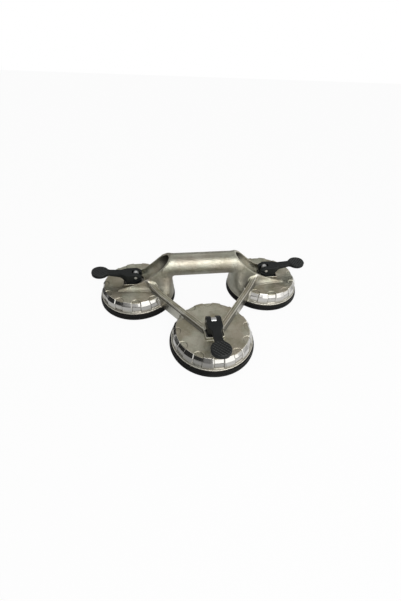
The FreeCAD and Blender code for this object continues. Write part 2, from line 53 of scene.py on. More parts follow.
lens = bpy.data.cameras.new("viewpoint")
lens.sensor_fit = "VERTICAL"
lens.sensor_height = 36
lens.lens = FOCAL_LENGTH
lens.clip_start = 0.01
back = Vector((math.sin(VIEW_AZIMUTH) * math.cos(VIEW_ELEVATION),
               -math.cos(VIEW_AZIMUTH) * math.cos(VIEW_ELEVATION), math.sin(VIEW_ELEVATION)))
level = Vector((0, 0, 1)).cross(back).normalized()
upright = back.cross(level)
across = math.cos(VIEW_ROLL) * level + math.sin(VIEW_ROLL) * upright
up = math.cos(VIEW_ROLL) * upright - math.sin(VIEW_ROLL) * level
camera = bpy.data.objects.new("viewpoint", lens)
camera.matrix_world = Matrix.Translation(VIEW_PLACE) @ Matrix((across, up, back)).transposed().to_4x4()
bpy.context.collection.objects.link(camera)
scene = bpy.context.scene
scene.camera = camera
scene.view_settings.view_transform = "Standard"


# ---------------------------------------------------------------------------------------------------
# Studio.  A white table that keeps a soft shadow, a white room, and a soft box above the lifter's front.
# Cards that only show in reflections give the bright castings their dark and their light sides.
# ---------------------------------------------------------------------------------------------------
def shader_node(tree, kind, inputs=(), **settings):
    """Add a shader node; an input is a value, or the output socket of another node."""
    made = tree.nodes.new("ShaderNode" + kind)
    for name, value in settings.items():
        setattr(made, name, value)
    for name, value in dict(inputs).items():
        if isinstance(value, bpy.types.NodeSocket):
            tree.links.new(value, made.inputs[name])
        else:
            made.inputs[name].default_value = value
    return made


def worked_out(tree, operation, *values, clamped=False):
    """The result of a Math node."""
    return shader_node(tree, "Math", enumerate(values), operation=operation, use_clamp=clamped).outputs[0]


def spread(tree, value, low, high, start=0.0, end=1.0, kind="LINEAR"):
    """From low to high, as the value goes from start to end."""
    return shader_node(tree, "MapRange", {"Value": value, "From Min": start, "From Max": end, "To Min": low,
                                          "To Max": high}, interpolation_type=kind).outputs[0]


def seen_directly(tree):
    """1 for rays from the camera, from glossy surfaces and through glass, and 0 for light on the object."""
    rays = shader_node(tree, "LightPath").outputs
    first = worked_out(tree, "MAXIMUM", rays["Is Camera Ray"], rays["Is Glossy Ray"])
    return worked_out(tree, "MAXIMUM", first, rays["Is Transmission Ray"])


ROOM_LIGHT = 0.62                         # the room is darker for the light that it sheds than to look at
room = bpy.data.worlds.new("white_room")
room.use_nodes = True
room.node_tree.nodes.clear()
strength = spread(room.node_tree, seen_directly(room.node_tree), ROOM_LIGHT, 1.0)
white = shader_node(room.node_tree, "Background", {"Color": (1, 1, 1, 1), "Strength": strength})
shader_node(room.node_tree, "OutputWorld", {"Surface": white.outputs[0]})
scene.world = room

TABLE_HALF = 4.0
TABLE_GLOW = 0.93                         # the share of its own white; the rest shows the shadow
TABLE_DROP = 0.0003                       # keeps the pads' flat lips clear of the table's face


def stage_piece(name, points, quads):
    """A part of the studio, with an empty material to fill: returns the object and the material's tree."""
    mesh = bpy.data.meshes.new(name)
    mesh.from_pydata(points, [], quads)
    thing = bpy.data.objects.new(name, mesh)
    bpy.context.collection.objects.link(thing)
    finish = bpy.data.materials.new(name)
    finish.use_nodes = True
    finish.node_tree.nodes.clear()
    mesh.materials.append(finish)
    return thing, finish.node_tree


def level_corners(middle, half_width, half_depth, height):
    """The corners of a level rectangle."""
    return [(middle[0] + x * half_width, middle[1] + y * half_depth, height)
            for x, y in ((-1, -1), (1, -1), (1, 1), (-1, 1))]


table_top = level_corners((0, 0), TABLE_HALF, TABLE_HALF, -TABLE_DROP)
_, tree = stage_piece("table", table_top, [(0, 1, 2, 3)])
matt = shader_node(tree, "BsdfDiffuse", {"Color": (0.86, 0.86, 0.86, 1)})
glow = shader_node(tree, "Emission", {"Color": (1, 1, 1, 1), "Strength": 1.0})
share = worked_out(tree, "MULTIPLY", seen_directly(tree), TABLE_GLOW)
mixed = shader_node(tree, "MixShader", {0: share, 1: matt.outputs[0], 2: glow.outputs[0]})
shader_node(tree, "OutputMaterial", {"Surface": mixed.outputs[0]})

# The soft box's power follows from its brightness and its area.
BOX_PLACE, BOX_TARGET = Vector((0.10, -0.62, 0.66)), Vector((0, 0.02, 0.03))
BOX_WIDTH, BOX_HEIGHT, BOX_BRIGHTNESS = 0.55, 0.34, 4.2
lamp = bpy.data.lights.new("soft_box", "AREA")
lamp.shape = "RECTANGLE"
lamp.size, lamp.size_y = BOX_WIDTH, BOX_HEIGHT
lamp.energy = BOX_BRIGHTNESS * math.pi * BOX_WIDTH * BOX_HEIGHT
soft_box = bpy.data.objects.new("soft_box", lamp)
facing = (BOX_TARGET - BOX_PLACE).to_track_quat("-Z", "Y").to_matrix().to_4x4()
soft_box.matrix_world = Matrix.Translation(BOX_PLACE) @ facing
bpy.context.collection.objects.link(soft_box)


def board(name, points, quads, shade):
    """A board that only shows in reflections, as dark or as bright as its shade."""
    thing, tree = stage_piece(name, points, quads)
    thing.visible_camera = thing.visible_diffuse = thing.visible_shadow = False
    glow = shader_node(tree, "Emission", {"Color": (1, 1, 1, 1), "Strength": shade})
    shader_node(tree, "OutputMaterial", {"Surface": glow.outputs[0]})


CARD_BENDS, CARD_CENTRE = 12, 0.02        # flat parts in a card; the height that its elevations start from


def card(name, reach, first, last, low, high, shade):
    """A bent board round the lifter, between two directions in plan and two elevations, in degrees: a
    point is at (reach * cos a, reach * sin a) and reach * tan e above the centre."""
    row = CARD_BENDS + 1
    turns = np.radians(np.linspace(first, last, row))
    points = [(reach * math.cos(a), reach * math.sin(a), CARD_CENTRE + reach * math.tan(math.radians(e)))
              for e in (low, high) for a in turns]
    board(name, points, [(i, i + 1, i + 1 + row, i + row) for i in range(CARD_BENDS)], shade)


def cloth(name, middle, half_width, half_depth, height, shade):
    """A level board on the table or overhead."""
    board(name, level_corners(middle, half_width, half_depth, height), [(0, 1, 2, 3)], shade)


# Dark cards stand to the left and behind, with pale ones over them; bright ones stand in front and to
# the right.  The cloths lie on the table and tone down what the castings' lower sides reflect.
card("dark_card", 1.50, 168, 242, -1, 20.5, 0.035)
card("low_card", 1.52, 242, 264, -1, 19, 0.26)
card("grey_card", 1.55, 126, 264, -1, 26, 0.38)
card("pale_card", 1.55, 126, 264, 26, 47, 0.82)
card("light_card", 1.55, 266, 326, 0, 55, 2.0)
card("side_card", 1.55, 326, 368, 6, 38, 1.5)
card("back_card", 1.55, 50, 125, 0, 27, 0.08)
card("sky_card", 1.60, 40, 125, 30, 45, 0.95)
cloth("far_cloth", (-1.05, 0.15), 0.45, 0.75, -0.0001, 0.06)
cloth("dark_cloth", (-0.40, 0.0), 0.20, 0.30, -0.0001, 0.09)
cloth("grey_cloth", (-0.19, 0.0), 0.21, 0.40, -0.0002, 0.70)
cloth("right_cloth", (0.80, 0.0), 0.54, 0.60, -0.0001, 0.60)
cloth("near_cloth", (-0.09, -0.13), 0.08, 0.07, -0.0001, 0.45)
# Painted shadow for reflections: a grey sheet under the tube stands in for the table's shade beneath the
# handle.
cloth("tube_shade_cloth", (0.0, 0.06), 0.12, 0.06, -0.0001, 0.46)
cloth("ceiling_card", (0, 0.2), 0.50, 0.44, 0.9, 0.42)


# ---------------------------------------------------------------------------------------------------
# Cup castings.  Three die-cast aluminium bells with a turned and polished bevel and wall, a tumbled top
# face and a row of arch-shaped recesses round the edge.  On the face stands the D-shaped fence, cast in
# one with it, that the lever's foot sits in.
# ---------------------------------------------------------------------------------------------------
SIDES = {"left": 180, "right": 0, "front": -90}      # where each lever points, in degrees


def cup_axis(side):
    """The middle of a cup in plan, in millimetres, from its rubber pad."""
    low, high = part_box(side + "_rubber_pad")
    return np.array([low.x + high.x, low.y + high.y]) / 2 * 1000


def node_heights(name):
    """The lowest and highest point of a CAD node, in millimetres."""
    low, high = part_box(name)
    return low.z * 1000, high.z * 1000


def rounded(corners):
    """The points of a closed outline: each corner is (x, y, radius, spacing).  An arc replaces a corner,
    tangent to both sides at radius * tan(turn / 2) from it; spacing is for the side that follows."""
    place = np.array([c[:2] for c in corners], float)
    before, after = place - np.roll(place, 1, 0), np.roll(place, -1, 0) - place
    before /= np.linalg.norm(before, axis=1, keepdims=True)
    after /= np.linalg.norm(after, axis=1, keepdims=True)
    turn = np.arctan2(before[:, 0] * after[:, 1] - before[:, 1] * after[:, 0], (before * after).sum(1))
    cut = np.array([c[2] for c in corners]) * np.abs(np.tan(turn / 2))
    pieces = []
    for i, (_, _, radius, spacing) in enumerate(corners):
        start, end = place[i] - before[i] * cut[i], place[i] + after[i] * cut[i]
        steps = max(2, int(abs(turn[i]) / 0.26)) if cut[i] > 0 else 0
        share = np.linspace(0, 1, steps + 1)[:, None] if steps else np.zeros((1, 1))
        angle = share * turn[i]
        side = np.array([-before[i][1], before[i][0]]) * np.sign(turn[i])
        pieces.append(start + radius * (np.sin(np.abs(angle)) * before[i] + (1 - np.cos(angle)) * side))
        following = (i + 1) % len(corners)
        goal = place[following] - before[following] * cut[following]
        runs = int(np.linalg.norm(goal - end) / spacing)
        pieces.append(end + (goal - end) * (np.arange(1, runs + 1) / (runs + 1))[:, None])
    return np.concatenate(pieces)


def grid_quads(rows, columns, closed_rows=True, closed_columns=True):
    """The four corners of each cell of a grid, whose last row or column may join the first."""
    row = np.arange(rows if closed_rows else rows - 1)[:, None]
    column = np.arange(columns if closed_columns else columns - 1)[None, :]
    below, beside = (row + 1) % rows, (column + 1) % columns
    return np.stack([row * columns + column, row * columns + beside,
                     below * columns + beside, below * columns + column], -1).reshape(-1, 4)


def outward(points, quads):
    """The same faces, pointing outwards: the volume that they enclose, a sum of cones from the origin,
    is positive then."""
    a, b, c, d = (points[quads[:, i]] for i in range(4))
    volume = (np.cross(b - a, c - a) * a).sum() + (np.cross(c - a, d - a) * a).sum()
    return quads if volume > 0 else quads[:, ::-1]


def edge_measure(points, quads):
    """How convex the surface is at each point, in 1/mm: the mean over its edges of the change of normal
    along the edge divided by the edge's length."""
    a, b, c, d = (points[quads[:, i]] for i in range(4))
    face_normal = np.cross(c - a, d - b)
    first, second = quads.ravel(), np.roll(quads, -1, 1).ravel()
    normal = np.stack([np.bincount(first, np.repeat(part, 4), len(points)) for part in face_normal.T], -1)
    normal /= np.linalg.norm(normal, axis=1, keepdims=True) + 1e-12
    along = points[second] - points[first]
    bend = ((normal[second] - normal[first]) * along).sum(1) / ((along * along).sum(1) + 1e-9)
    ends = np.append(first, second)
    total, count = (np.bincount(ends, weight, len(points)) for weight in (np.tile(bend, 2), None))
    return total / np.maximum(count, 1)


def metal_piece(name, points, quads, material, polish=0, raw_and_shade=0):
    """A smooth mesh piece from points in millimetres.  Its attributes say how convex each point is, how
    far it has been polished or rubbed, and how far it is darkened by painted shade and left rough as cast."""
    quads = outward(points, quads)
    mesh = bpy.data.meshes.new(name)
    mesh.vertices.add(len(points))
    mesh.vertices.foreach_set("co", (points * 0.001).ravel())
    mesh.loops.add(quads.size)
    mesh.loops.foreach_set("vertex_index", quads.ravel())
    mesh.polygons.add(len(quads))
    mesh.polygons.foreach_set("loop_start", np.arange(0, quads.size, 4))
    mesh.polygons.foreach_set("use_smooth", np.ones(len(quads), bool))
    mesh.update(calc_edges=True)
    for kind, measure in (("convex", edge_measure(points, quads)), ("polished", polish), ("raw_and_shade", raw_and_shade)):
        attribute = mesh.attributes.new(kind, "FLOAT", "POINT")
        attribute.data.foreach_set("value", np.zeros(len(points)) + measure)
    mesh.materials.append(material)
    piece = bpy.data.objects.new(name, mesh)
    bpy.context.collection.objects.link(piece)
    return piece


def effect_group(name, inputs, outputs):
    """An empty shader node group with named sockets: its tree, its inputs' node and its outputs' node."""
    tree = bpy.data.node_groups.new(name, "ShaderNodeTree")
    for socket, kind in inputs:
        tree.interface.new_socket(socket, in_out="INPUT", socket_type="NodeSocket" + kind)
    for socket, kind in outputs:
        tree.interface.new_socket(socket, in_out="OUTPUT", socket_type="NodeSocket" + kind)
    return tree, tree.nodes.new("NodeGroupInput"), tree.nodes.new("NodeGroupOutput")


def object_place(tree):
    """The object's own coordinates, in metres."""
    return shader_node(tree, "TexCoord").outputs["Object"]


def noise(tree, scale, **inputs):
    """Noise on the object's own coordinates, or on a vector."""
    place = inputs.pop("Vector", None) or object_place(tree)
    return shader_node(tree, "TexNoise", {"Vector": place, "Scale": scale, **inputs}).outputs["Fac"]


def blended(tree, share, first, second):
    """Two colours, mixed by a share."""
    return shader_node(tree, "Mix", {0: share, 6: first, 7: second}, data_type="RGBA").outputs[2]


def measured(tree, name):
    """One of the measures that a piece's points carry."""
    return shader_node(tree, "Attribute", attribute_name=name).outputs["Fac"]


# Cloudiness: two colours mixed by slow noise, as handling and tumbling leave on bare metal.
cloud_tree, cloud_in, cloud_out = effect_group(
    "cloudiness", [("First", "Color"), ("Second", "Color"), ("Scale", "Float"), ("Contrast", "Float")],
    [("Color", "Color")])
slow = noise(cloud_tree, cloud_in.outputs["Scale"], Detail=5.0, Roughness=0.6)
centred = worked_out(cloud_tree, "SUBTRACT", slow, 0.5)
stretched = worked_out(cloud_tree, "MULTIPLY_ADD", centred, cloud_in.outputs["Contrast"], 0.5, clamped=True)
tinted = blended(cloud_tree, stretched, cloud_in.outputs["First"], cloud_in.outputs["Second"])
cloud_tree.links.new(tinted, cloud_out.inputs["Color"])

# Grain: fine bumps on a surface, and a mask of the same bumps.
grain_tree, grain_in, grain_out = effect_group(
    "surface_grain", [("Scale", "Float"), ("Height", "Float")], [("Mask", "Float"), ("Normal", "Vector")])
fine = noise(grain_tree, grain_in.outputs["Scale"], Detail=3.0, Roughness=0.65)
bumps = shader_node(grain_tree, "Bump", {"Strength": 1.0, "Distance": grain_in.outputs["Height"],
                                         "Height": fine})
grain_tree.links.new(fine, grain_out.inputs["Mask"])
grain_tree.links.new(bumps.outputs["Normal"], grain_out.inputs["Normal"])

# Convexity mask: how far a point lies on a convex edge, or in a hollow when the limits are negative, from
# the surface's convexity and some fine noise.  On edges it stands for rubbed wear and a painted highlight;
# in hollows, for painted shade.
convexity_tree, convexity_in, convexity_out = effect_group(
    "convexity_mask", [("Start", "Float"), ("Full", "Float"), ("Breakup", "Float")], [("Mask", "Float")])
wear_and_light = spread(convexity_tree, measured(convexity_tree, "convex"), 0.0, 1.0, convexity_in.outputs["Start"],
                convexity_in.outputs["Full"], "SMOOTHSTEP")
speckle = noise(convexity_tree, 260.0, Detail=2.0)
uneven = spread(convexity_tree, speckle, convexity_in.outputs["Breakup"], 1.0, 0.3, 0.6)
convexity_tree.links.new(worked_out(convexity_tree, "MULTIPLY", wear_and_light, uneven), convexity_out.inputs["Mask"])


def use_group(tree, group, inputs):
    """Place a node group in a material with its own values."""
    placed = tree.nodes.new("ShaderNodeGroup")
    placed.node_tree = group
    for name, value in inputs.items():
        placed.inputs[name].default_value = value
    return placed


def new_material(name, inputs=(), **settings):
    """A material with a bare Principled shader: returns the material, its tree and its shader."""
    material = bpy.data.materials.new(name)
    material.use_nodes = True
    tree = material.node_tree
    shader = tree.nodes["Principled BSDF"]
    for socket, value in dict(inputs).items():
        shader.inputs[socket].default_value = value
    return material, tree, shader


# Cast aluminium.  Tumbled faces are cloudy in two pairs of slow tones, warm and green.
cast_metal, tree, shader = new_material("cast_aluminium", {"Metallic": 1.0})
warm = use_group(tree, cloud_tree, {"First": (0.47, 0.45, 0.365, 1), "Second": (0.30, 0.24, 0.17, 1),
                                    "Scale": 28.0, "Contrast": 7.0})
green = use_group(tree, cloud_tree, {"First": (0.46, 0.45, 0.375, 1), "Second": (0.265, 0.29, 0.22, 1),
                                     "Scale": 47.0, "Contrast": 6.0})
tumbled = blended(tree, 0.45, warm.outputs["Color"], green.outputs["Color"])

# Polished faces are brighter and carry fine lathe lines, a noise that is drawn out round the axis.
polished = measured(tree, "polished")
drawn_out = shader_node(tree, "VectorMath", {0: object_place(tree), 1: (70, 70, 1100)}, operation="MULTIPLY")
lathe_lines = noise(tree, 1.0, Vector=drawn_out.outputs[0], Detail=2.0)
turned_tone = blended(tree, lathe_lines, (0.60, 0.59, 0.56, 1), (0.41, 0.40, 0.38, 1))
buffed = blended(tree, polished, tumbled, turned_tone)

# Painted shade: hollows, and what a piece marks in its shade measure, are darkened to a brown grey and made
# rough as cast.  Edges are rubbed bright: wear, with a painted highlight.
hollows = use_group(tree, convexity_tree, {"Start": -0.04, "Full": -0.30, "Breakup": 0.7})
hollow_shade = worked_out(tree, "MULTIPLY", hollows.outputs["Mask"], 0.6)
raw_and_shade = worked_out(tree, "MAXIMUM", measured(tree, "raw_and_shade"), hollow_shade)
darker = blended(tree, raw_and_shade, buffed, (0.135, 0.130, 0.108, 1))
edges = use_group(tree, convexity_tree, {"Start": 0.30, "Full": 1.1, "Breakup": 0.5})
bright = blended(tree, edges.outputs["Mask"], darker, (0.84, 0.80, 0.70, 1))

# Tumbling leaves fine grain and wider dimples, which polishing takes away.
grain = use_group(tree, grain_tree, {"Scale": 620.0})
rough_height = spread(tree, polished, 0.00042, 0.00003)
tree.links.new(rough_height, grain.inputs["Height"])
dimples = noise(tree, 250.0, Detail=1.0)
pitted = shader_node(tree, "Bump", {"Strength": 1.0, "Distance": rough_height, "Height": dimples,
                                    "Normal": grain.outputs["Normal"]})
matt_share = spread(tree, grain.outputs["Mask"], 0.32, 0.52)
coarser = shader_node(tree, "Mix", {0: raw_and_shade, 2: matt_share, 3: 0.66})
smoother = shader_node(tree, "Mix", {0: polished, 2: coarser.outputs[0], 3: 0.12})
tree.links.new(bright, shader.inputs["Base Color"])
tree.links.new(smoother.outputs[0], shader.inputs["Roughness"])
tree.links.new(pitted.outputs["Normal"], shader.inputs["Normal"])

SEAT, FENCE_TOP = node_heights("front_cup_casting")
FACE, WEAR_TOP = node_heights("front_wear_plate")
FLANGE_RADIUS, FLANGE_TOP, WALL_FOOT_RADIUS = 57.3, SEAT + 2.7, 56.0
WALL_TOP_RADIUS, WALL_TOP, FACE_RADIUS = 54.7, 21.3, 50.6
BORE_RADIUS, CAVITY_RADIUS, ROOF_UNDER, HUB_RADIUS, HUB_FOOT = 5.85, 51.8, 22.5, 10.0, 17.0
RECESS_RADIUS, RECESS_CENTRE, RECESS_DEPTH, RECESS_FOOT, RECESS_SOFTNESS = 6.7, 50.2, 1.2, 12.4, 0.6
FINE_START = 42                                      # the face's rings lie close together from here out
SECTOR = 30                                          # degrees from one recess to the next


def recess_share(x, y, first, count, softness):
    """How far a point lies inside an arch recess, from 0 to 1: the distance to the nearest arch, which is
    a half circle with straight sides that run outwards, smoothed over the softness."""
    radius, past = np.hypot(x, y), (np.degrees(np.arctan2(y, x)) - first) % 360
    index = np.round(past / SECTOR) % (360 // SECTOR)
    local = np.radians((past - index * SECTOR + 180) % 360 - 180)
    along, aside = radius * np.cos(local), radius * np.sin(local)
    arch = np.hypot(along - RECESS_CENTRE, aside)
    gap = np.where(along > RECESS_CENTRE, np.abs(aside), arch) - RECESS_RADIUS
    inside = np.clip(0.5 - gap / (2 * softness), 0, 1)
    return np.where(index < count, inside * inside * (3 - 2 * inside), 0)


def recess_row(side):
    """The first recess's angle from the lever and their number: a saddle covers three of the rear cups'."""
    return -120, 12 if side == "front" else 9


def bell(side):
    """Radius and height follow a closed profile, the angle goes round the axis; in a recess the point
    moves along the profile's normal by the recess's depth."""
    profile = rounded([
        (BORE_RADIUS, FACE, 0.3, 7), (FINE_START, FACE, 0, 0.36), (FACE_RADIUS, FACE, 0.6, 0.55),
        (WALL_TOP_RADIUS, WALL_TOP, 0.8, 0.8), (WALL_FOOT_RADIUS, FLANGE_TOP, 0.5, 0.7),
        (FLANGE_RADIUS, FLANGE_TOP, 0.6, 0.9), (FLANGE_RADIUS, SEAT, 0.4, 3), (CAVITY_RADIUS, SEAT, 0.5, 7),
        (CAVITY_RADIUS, ROOF_UNDER, 2.0, 14), (HUB_RADIUS, ROOF_UNDER, 1.0, 3),
        (HUB_RADIUS, HUB_FOOT, 0.5, 3), (BORE_RADIUS, HUB_FOOT, 0.3, 5)])
    slope = np.roll(profile, -1, 0) - np.roll(profile, 1, 0)
    slope /= np.linalg.norm(slope, axis=1, keepdims=True)
    radius, height = profile[:, :1], profile[:, 1:]
    # The angles of a sector lie closer together along its recess's two sides.
    steps = np.interp(np.linspace(0, 1, 53)[:-1], [0, 0.11, 0.33, 0.67, 0.89, 1],
                      [-SECTOR / 2, -8.6, -5.4, 5.4, 8.6, SECTOR / 2])
    first, count = recess_row(side)
    angle = np.radians((np.arange(0, 360, SECTOR)[:, None] + steps[None, :] + first).ravel())[None, :]
    share = recess_share(radius * np.cos(angle), radius * np.sin(angle), first, count, RECESS_SOFTNESS)
    share = share * np.clip((height - RECESS_FOOT) / 0.5 + 0.5, 0, 1)
    radius = radius + share * RECESS_DEPTH * slope[:, 1:]
    height = height - share * RECESS_DEPTH * slope[:, :1] + 0 * angle
    points = np.stack([radius * np.cos(angle), radius * np.sin(angle), height], -1)
    shine = np.clip((np.hypot(points[..., 0], points[..., 1]) - FACE_RADIUS) / 0.5 + 0.5, 0, 1)
    shine = shine * np.interp(points[..., 2], [13, 16], [0.35, 1])       # less towards the wall's foot
    return points, shine


# The fence's top is round all across, so the whole top is lightened as a rubbed edge: wear and a painted
# highlight.
FENCE_HALF, FENCE_WALL, FENCE_END, FENCE_CORNER = 13.3, 2.1, 20.6, 1.6
FENCE_FILLET, FENCE_ROUND = 0.9, 0.95                # at the wall's foot and along its top


def fence():
    """A profile of offset and height is carried along the middle of the D-shaped wall."""
    middle = FENCE_WALL / 2
    half, end = FENCE_HALF - middle, FENCE_END - middle
    bow = np.radians(np.linspace(90, 270, 41))
    arc = np.stack([half * np.cos(bow), half * np.sin(bow)], -1)
    square = rounded([(0, -half, 0, 1.5), (end, -half, FENCE_CORNER, 1.5), (end, half, FENCE_CORNER, 1.5),
                      (0, half, 0, 90)])
    path = np.concatenate([arc, square[square[:, 0] > 0.5]])
    run = np.roll(path, -1, 0) - np.roll(path, 1, 0)
    run /= np.linalg.norm(run, axis=1, keepdims=True)
    side = np.stack([run[:, 1], -run[:, 0]], -1)
    section = rounded([(middle + 1.0, FACE - 0.5, 0, 2), (middle + 0.9, FACE + 0.02, 0, 2),
                       (middle, FACE + 0.9, FENCE_FILLET, 0.8), (middle, FENCE_TOP, FENCE_ROUND, 0.5),
                       (-middle, FENCE_TOP, FENCE_ROUND, 0.8), (-middle, FACE - 0.5, 0, 2)])
    offset, height = section[:, 0], section[:, 1]
    flat = path[:, None, :] + side[:, None, :] * offset[None, :, None]
    return np.concatenate([flat, np.broadcast_to(height[None, :, None], flat.shape[:2] + (1,))], -1)


def turned_to(points, side):
    """Points drawn about a cup's axis with the lever towards +X, moved to a cup."""
    turn = math.radians(SIDES[side])
    x, y = points[..., 0], points[..., 1]
    middle = cup_axis(side)
    return np.stack([x * math.cos(turn) - y * math.sin(turn) + middle[0],
                     x * math.sin(turn) + y * math.cos(turn) + middle[1], points[..., 2]], -1)


for side in SIDES:
    points, shine = bell(side)
    rows, columns = points.shape[:2]
    wall = fence()
    fence_quads = grid_quads(*wall.shape[:2]) + rows * columns
    every = np.concatenate([points.reshape(-1, 3), wall.reshape(-1, 3)])
    quads = np.concatenate([outward(every, grid_quads(rows, columns)), outward(every, fence_quads)])
    piece = metal_piece(side + "_cup_skin", turned_to(every, side), quads, cast_metal,
                        np.concatenate([shine.ravel(), np.zeros(wall.size // 3)]))
    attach(piece, "frame")
    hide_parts(side + "_cup_casting")


# ---------------------------------------------------------------------------------------------------
# Handle casting.  Cast in one with the cups: the tube that the hand grips opens at each end into a
# saddle, which is a skirt round the rear cup, a trough for the raised lever, and two rims that fall
# from the tube's top to the cup's face.
# ---------------------------------------------------------------------------------------------------
GRIP_RADIUS, GRIP_HEIGHT, GRIP_WALL, TUBE_HALF = 17.45, 57.0, 3.1, 46.5
SKIRT_RADIUS, SKIRT_ROUND, TUBE_FILLET = WALL_FOOT_RADIUS + 1.1, 9, 5
SADDLE_END, SADDLE_TOP, RIM_ROUND = 129.5, 78.5, 1.6
RIM_SLANT = 0.78                                     # from the height over a falling rim to the distance
REAR = cup_axis("right")
SPREAD = REAR[0]


def smooth_least(a, b, reach):
    """The smaller of two distances, with a fillet where they are closer than the reach."""
    near = np.maximum(reach - np.abs(a - b), 0) / reach
    return np.minimum(a, b) - near * near * reach / 4


def smooth_most(a, b, reach):
    """The larger of two distances, with a round edge where they are closer than the reach."""
    return -smooth_least(-a, -b, reach)


def through(x, stations, values):
    """A smooth curve through stations: a cubic between each two, whose slope at a station is that of the
    line through its neighbours."""
    stations, values = np.array(stations, float), np.array(values, float)
    slopes = np.gradient(values, stations)
    i = np.clip(np.searchsorted(stations, x) - 1, 0, len(stations) - 2)
    width = stations[i + 1] - stations[i]
    part = np.clip((x - stations[i]) / width, 0, 1)
    rise, fall = part * part * (3 - 2 * part), part * (1 - part)
    return (values[i] * (1 - rise) + values[i + 1] * rise
            + width * fall * ((1 - part) * slopes[i] - part * slopes[i + 1]))


def skin(field, spans, step):
    """The surface where a field of distances is zero, found on a grid of cells over the spans.  Each cell
    that it crosses gets one point, the mean of the crossings on the cell's edges; each crossed edge gets
    the quad of the four cells round it."""
    axes = [np.arange(low, high, step) for low, high in spans]
    values = field(axes[0][:, None, None], axes[1][None, :, None], axes[2][None, None, :])
    inside = values < 0
    cells = np.array(values.shape) - 1
    total = np.zeros((cells.prod(), 3))
    count = np.zeros(cells.prod())
    quads = []
    for axis in range(3):
        low, high = [slice(None)] * 3, [slice(None)] * 3
        low[axis], high[axis] = slice(None, -1), slice(1, None)
        a, b = values[tuple(low)], values[tuple(high)]
        place = np.argwhere(inside[tuple(low)] != inside[tuple(high)])
        first, second = a[tuple(place.T)], b[tuple(place.T)]
        crossing = place.astype(float)
        crossing[:, axis] += first / (first - second)
        u, v = [k for k in range(3) if k != axis]
        ring = []
        for du, dv in ((0, 0), (-1, 0), (-1, -1), (0, -1)):
            cell = place.copy()
            cell[:, u] += du
            cell[:, v] += dv
            index = np.ravel_multi_index(tuple(cell.T), tuple(cells), mode="clip")
            for k in range(3):
                total[:, k] += np.bincount(index, crossing[:, k], len(total))
            count += np.bincount(index, minlength=len(count))
            ring.append(index)
        ring = np.stack(ring, -1)
        flip = (first < 0) != (axis == 1)
        quads.append(np.where(flip[:, None], ring, ring[:, ::-1]))
    used = np.flatnonzero(count)
    renumber = np.zeros(len(count), int)
    renumber[used] = np.arange(len(used))
    points = total[used] / count[used, None] * step + np.array([start for start, _ in spans])
    return points, renumber[np.concatenate(quads)]


def round_corner(beside, beyond, radius):
    """Distances to a corner, from those to its two sides drawn in by the radius: inside, the larger one;
    outside, the way to where they meet; both less the radius."""
    near = np.minimum(np.maximum(beside, beyond), 0)
    return near + np.hypot(np.maximum(beside, 0), np.maximum(beyond, 0)) - radius


def trough_distance(u, v, z):
    """Distances to the right saddle's trough, below zero inside: a floor with round corners between upright
    walls, which is the tube's bore at its start and wider than the fence at its end.  Its half width, its
    corners' radius and its floor's height follow curves along u."""
    stations = [60, 68, 80, 92, 107, 136]
    wide = through(u, stations, [14.35, 14.35, 14.97, 15.6, 16.2, 16.2])
    corner = through(u, stations, [14.35, 14.2, 10.8, 7.2, 4.0, 4.0])
    floor = through(u, stations, [42.65, 42.65, 37.5, 29.6, 20.0, 16.0])
    trough = round_corner(np.abs(v) - (wide - corner), floor + corner - z, corner)
    bore = np.hypot(v, z - GRIP_HEIGHT) - (GRIP_RADIUS - GRIP_WALL)
    return np.where(u < stations[1], bore, trough)


def bell_distance(x, y, z, first, count):
    """Distances to a cup's bell, filled: its face with the recesses, its bevel, its wall and its flange."""
    radius = np.hypot(x, y)
    sunk = RECESS_DEPTH * recess_share(x, y, first, count, 0.5)
    fall, depth = WALL_TOP_RADIUS - FACE_RADIUS, FACE - WALL_TOP
    bevel = ((radius - FACE_RADIUS) * depth + (z - FACE) * fall) / math.hypot(fall, depth)
    lean = (WALL_FOOT_RADIUS - WALL_TOP_RADIUS) / (WALL_TOP - FLANGE_TOP)
    wall = radius - WALL_TOP_RADIUS - lean * (WALL_TOP - z)
    above = np.maximum(np.maximum(bevel, wall), z - FACE) + sunk
    return np.minimum(above, np.maximum(radius - FLANGE_RADIUS, z - FLANGE_TOP))


def fence_room(x, y, inset):
    """Distances in plan to the fence's D-shaped outline, moved inwards by the inset."""
    foot_room = np.where(x < 0, np.hypot(x, y), np.abs(y)) - (FENCE_HALF - inset)
    return np.where(x > 0, np.maximum(foot_room, x - FENCE_END + inset), foot_room)


